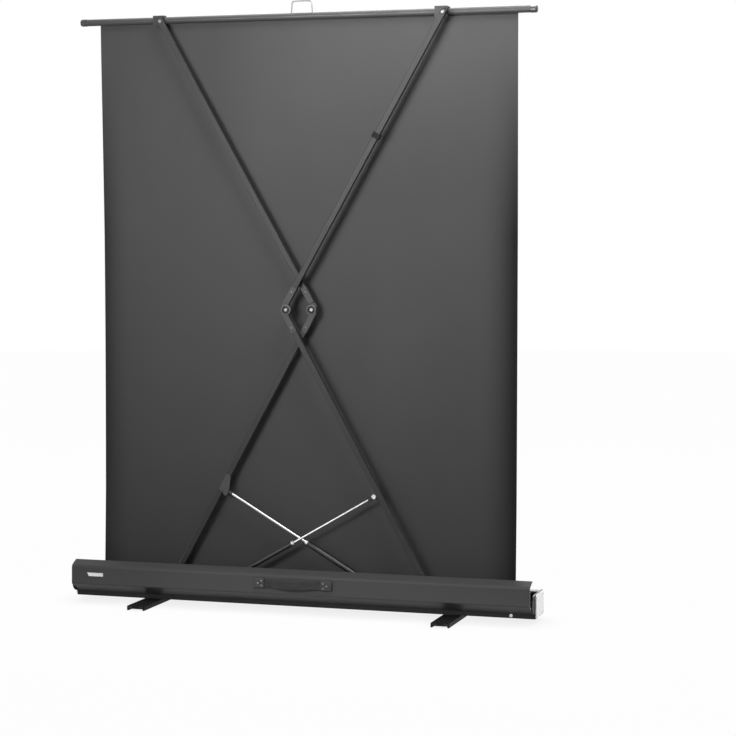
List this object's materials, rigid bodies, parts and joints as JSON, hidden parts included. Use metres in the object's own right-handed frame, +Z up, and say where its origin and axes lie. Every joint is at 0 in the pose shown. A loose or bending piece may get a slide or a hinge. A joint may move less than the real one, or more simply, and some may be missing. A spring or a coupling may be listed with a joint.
{
  "type": "pull-up projection screen",
  "caption": "Free-standing pull-up projection screen: floor case with spring roller and swivel feet, crossed folding arms on gas springs, top bar with pull handle.",
  "frame": {"origin": "on the floor below the middle of the case, at the centre of the footprint of the feet", "axes": "+Z up, +X along the case to the left as seen from behind, +Y to the back where the arms are; the white side faces -Y"},
  "size_m": [1.4232, 0.356, 1.7806],
  "materials": {
    "case_black": "powder-coated extrusion, satin black",
    "moulded_black": "moulded, satin",
    "moulded_pale": "moulded, pale grey",
    "strap_black": "soft black rubber",
    "zinc_steel": "zinc-plated pressing",
    "bright_steel": "polished steel",
    "screen_fabric": "projection fabric, matte white in front and dark grey behind",
    "roller_aluminium": "plain extruded tube",
    "arm_black": "anodised black",
    "foot_black": "powder-coated steel",
    "spring_black": "painted steel",
    "elbow_grey": "die casting, grey",
    "bracket_black": "die casting, black"
  },
  "bodies": {
    "case": {"case_base": "case_black", "case_back_shell": "case_black", "case_front_shell": "case_black", "left_end_cap": "moulded_black", "right_end_cap": "moulded_black", "left_end_plate": "moulded_pale", "right_end_plate": "moulded_pale", "case_plug": "moulded_pale", "handle_strap": "strap_black", "left_handle_cap": "moulded_black", "right_handle_cap": "moulded_black", "left_roller_bracket": "zinc_steel", "right_roller_bracket": "zinc_steel", "fabric_sheet": "screen_fabric", "left_arm_bracket": "zinc_steel", "right_arm_bracket": "zinc_steel", "left_arm_pin": "bright_steel", "right_arm_pin": "bright_steel", "left_spring_anchor": "zinc_steel", "right_spring_anchor": "zinc_steel", "left_foot_bolt": "bright_steel", "right_foot_bolt": "bright_steel"},
    "roller": {"roller_tube": "roller_aluminium", "roller_winding": "screen_fabric", "roller_spring": "bright_steel", "roller_spring_plug": "moulded_black", "roller_idle_plug": "moulded_black"},
    "left_lower": {"left_lower_arm": "arm_black", "left_lower_elbow": "elbow_grey", "left_elbow_pin": "bright_steel", "left_spring_tab": "foot_black", "left_spring_pin": "bright_steel"},
    "left_upper": {"left_upper_arm": "arm_black", "left_upper_elbow": "elbow_grey"},
    "left_rod": {"left_spring_rod": "bright_steel"},
    "left_cylinder": {"left_spring_cylinder": "spring_black", "left_spring_gland": "bright_steel"},
    "left_foot": {"left_foot": "foot_black"},
    "right_lower": {"right_lower_arm": "arm_black", "right_lower_elbow": "elbow_grey", "right_elbow_pin": "bright_steel", "right_spring_tab": "foot_black", "right_spring_pin": "bright_steel"},
    "right_upper": {"right_upper_arm": "arm_black", "right_upper_elbow": "elbow_grey", "arm_bumper": "strap_black"},
    "right_rod": {"right_spring_rod": "bright_steel"},
    "right_cylinder": {"right_spring_cylinder": "spring_black", "right_spring_gland": "bright_steel"},
    "right_foot": {"right_foot": "foot_black"},
    "bar": {"top_bar": "arm_black", "left_bar_cap": "moulded_black", "right_bar_cap": "moulded_black", "pull_handle": "bright_steel", "left_top_bracket": "bracket_black", "right_top_bracket": "bracket_black", "left_top_pin": "bright_steel", "right_top_pin": "bright_steel"}
  },
  "joints": [
    {"name": "left_arm_fold", "type": "hinge", "parent": "case", "child": "left_lower", "pos_m": [0.412, 0.03005, 0.0525], "axis": [0, -1, 0], "range_deg": [0, 60.5], "deforming": ["fabric_sheet"]},
    {"name": "left_elbow", "type": "hinge", "parent": "left_lower", "child": "left_upper", "pos_m": [-0.036, 0.03005, 0.88453], "axis": [0, 1, 0], "range_deg": [0, 120.25]},
    {"name": "bar_level", "type": "hinge", "parent": "left_upper", "child": "bar", "pos_m": [0.434, 0.03005, 1.72959], "axis": [0, -1, 0], "range_deg": [0, 59.75]},
    {"name": "right_arm_fold", "type": "hinge", "parent": "case", "child": "right_lower", "pos_m": [-0.412, 0.04905, 0.0525], "axis": [0, 1, 0], "range_deg": [0, 60.52]},
    {"name": "right_elbow", "type": "hinge", "parent": "right_lower", "child": "right_upper", "pos_m": [0.036, 0.04905, 0.88453], "axis": [0, -1, 0], "range_deg": [0, 120.25]},
    {"name": "left_spring_swing", "type": "hinge", "parent": "left_lower", "child": "left_rod", "pos_m": [0.23085, 0.03005, 0.34658], "axis": [0, 1, 0], "range_deg": [0, 91.25]},
    {"name": "left_spring_stroke", "type": "slide", "parent": "left_rod", "child": "left_cylinder", "axis": [0.8636, 0, 0.5042], "range_m": [0, 0.24636]},
    {"name": "right_spring_swing", "type": "hinge", "parent": "right_lower", "child": "right_rod", "pos_m": [-0.23085, 0.04905, 0.34658], "axis": [0, -1, 0], "range_deg": [0, 91.25]},
    {"name": "right_spring_stroke", "type": "slide", "parent": "right_rod", "child": "right_cylinder", "axis": [-0.8636, 0, 0.5042], "range_m": [0, 0.24636]},
    {"name": "roller_spin", "type": "hinge", "parent": "case", "child": "roller", "pos_m": [0, -0.02085, 0.0475], "axis": [-1, 0, 0], "range_deg": [0, 4156]},
    {"name": "left_foot_swivel", "type": "hinge", "parent": "case", "child": "left_foot", "pos_m": [0.463, 0, 0.0142], "axis": [0, 0, 1], "range_deg": [0, 90]},
    {"name": "right_foot_swivel", "type": "hinge", "parent": "case", "child": "right_foot", "pos_m": [-0.463, 0, 0.0142], "axis": [0, 0, -1], "range_deg": [0, 90]}
  ],
  "couplings": [
    {"joint": "left_elbow", "follows": "left_arm_fold", "ratio": 1.9873},
    {"joint": "bar_level", "follows": "left_arm_fold", "ratio": 0.98731},
    {"joint": "right_arm_fold", "follows": "left_arm_fold", "ratio": 1},
    {"joint": "right_elbow", "follows": "left_arm_fold", "ratio": 1.9873},
    {"joint": "left_spring_swing", "follows": "left_arm_fold", "ratio": 1.508},
    {"joint": "left_spring_stroke", "follows": "left_arm_fold", "m_per_rad": 0.23322},
    {"joint": "right_spring_swing", "follows": "left_arm_fold", "ratio": 1.508},
    {"joint": "right_spring_stroke", "follows": "left_arm_fold", "m_per_rad": 0.23322},
    {"joint": "roller_spin", "follows": "left_arm_fold", "ratio": 68.609}
  ]
}
